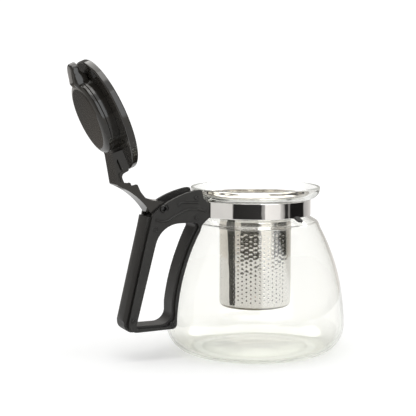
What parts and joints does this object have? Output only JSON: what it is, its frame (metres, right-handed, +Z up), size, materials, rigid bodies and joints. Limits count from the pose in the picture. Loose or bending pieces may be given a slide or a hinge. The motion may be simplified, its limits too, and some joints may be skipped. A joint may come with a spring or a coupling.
{
  "type": "teapot",
  "caption": "Glass teapot with a flared rim, steel neck band, two-plate plastic handle, flip-up lid and a lift-out perforated infuser.",
  "frame": {"origin": "centre of the jug's foot, on the surface it stands on", "axes": "+Z up, the handle and the lid hinge towards -X, the hinge pin along Y"},
  "size_m": [0.2047, 0.1296, 0.2111],
  "materials": {
    "clear_glass": "clear blown glass, smooth",
    "gasket_rubber": "soft black rubber",
    "polished_band": "polished stainless steel",
    "hardware_steel": "plain steel",
    "handle_plastic": "matte black plastic",
    "lid_plastic": "glossy black plastic",
    "infuser_steel": "polished stainless sheet"
  },
  "bodies": {
    "jug": {"glass_jug": "clear_glass", "band_gasket": "gasket_rubber", "neck_band": "polished_band", "clamp_screw": "hardware_steel", "clamp_nut": "hardware_steel", "handle_core": "handle_plastic", "side_plate_near": "handle_plastic", "side_plate_far": "handle_plastic", "handle_screws": "hardware_steel", "hinge_pin": "hardware_steel"},
    "lid": {"lid_arm": "lid_plastic", "lid_disc": "lid_plastic", "lid_liner": "lid_plastic", "lid_screws": "hardware_steel", "lid_cap": "lid_plastic"},
    "infuser": {"infuser_collar": "infuser_steel", "infuser_tube": "infuser_steel", "infuser_base": "infuser_steel"}
  },
  "joints": [
    {"name": "lid_hinge", "type": "hinge", "parent": "jug", "child": "lid", "pos_m": [-0.075, 0, 0.1079], "axis": [0, 1, 0], "range_deg": [0, 113.2]},
    {"name": "infuser_lift", "type": "slide", "parent": "jug", "child": "infuser", "axis": [0, 0, 1], "range_m": [0, 0.11]}
  ]
}
